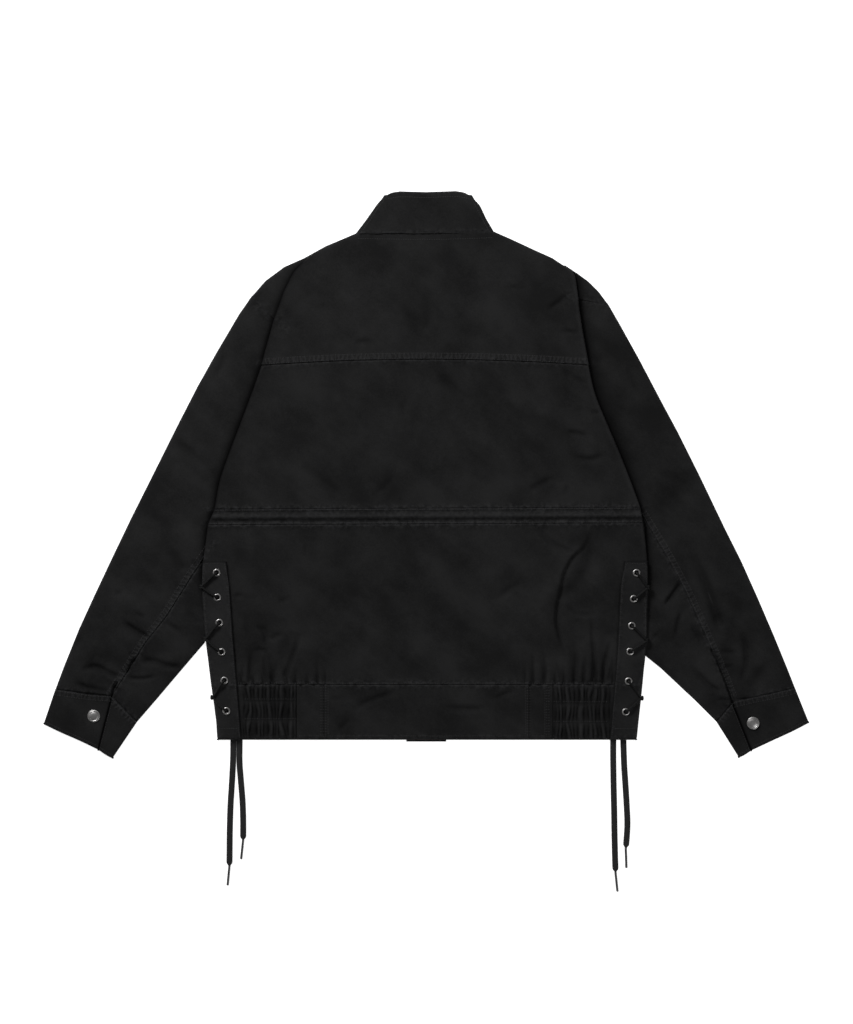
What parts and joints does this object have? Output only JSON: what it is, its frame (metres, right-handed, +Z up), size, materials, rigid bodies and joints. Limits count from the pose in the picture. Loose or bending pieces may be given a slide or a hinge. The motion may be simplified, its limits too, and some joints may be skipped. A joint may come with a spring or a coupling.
{
  "type": "field jacket",
  "caption": "Black cotton field jacket laid flat, back side up, with stand collar, yoke, waist drawcord channel, laced sides with hanging lace ends and a shirred hem band.",
  "frame": {"origin": "on the surface, below the middle of the jacket without its free lace ends", "axes": "+X towards the sleeve on the viewer's right, +Y towards the collar, +Z up from the surface, out of the jacket's back"},
  "size_m": [1.0336, 0.9466, 0.0159],
  "materials": {
    "twill": "garment-dyed black cotton twill, matt",
    "lace": "black braided flat lace",
    "nickel": "nickel-plated eyelets and snaps",
    "gunmetal": "dark metal aglets"
  },
  "bodies": {
    "root": {"yoke": "twill", "back_upper": "twill", "waist_channel": "twill", "back_lower": "twill", "band_centre": "twill", "collar_back": "twill", "collar_front": "twill", "front_placket": "twill", "band_tab_left": "twill", "band_shirred_left": "twill", "lacing_strip_left": "twill", "front_left": "twill", "front_band_left": "twill", "sleeve_left": "twill", "sleeve_back_left": "twill", "sleeve_under_left": "twill", "shoulder_left": "twill", "cuff_left": "twill", "cuff_end_left": "twill", "cuff_under_left": "twill", "band_tab_right": "twill", "band_shirred_right": "twill", "lacing_strip_right": "twill", "front_right": "twill", "front_band_right": "twill", "sleeve_right": "twill", "sleeve_back_right": "twill", "sleeve_under_right": "twill", "shoulder_right": "twill", "cuff_right": "twill", "cuff_end_right": "twill", "cuff_under_right": "twill", "eyelet_left_1": "nickel", "eyelet_left_2": "nickel", "eyelet_left_3": "nickel", "eyelet_left_4": "nickel", "eyelet_left_5": "nickel", "eyelet_left_6": "nickel", "eyelet_right_1": "nickel", "eyelet_right_2": "nickel", "eyelet_right_3": "nickel", "eyelet_right_4": "nickel", "eyelet_right_5": "nickel", "eyelet_right_6": "nickel", "snap_left": "nickel", "snap_right": "nickel", "lace_left_1": "lace", "lace_left_2": "lace", "lace_left_3": "lace", "lace_right_1": "lace", "lace_right_2": "lace", "lace_right_3": "lace", "lace_left_inner": "lace", "lace_left_outer": "lace", "lace_right_inner": "lace", "lace_right_outer": "lace", "aglet_left_inner": "gunmetal", "aglet_left_outer": "gunmetal", "aglet_right_inner": "gunmetal", "aglet_right_outer": "gunmetal"}
  },
  "joints": []
}
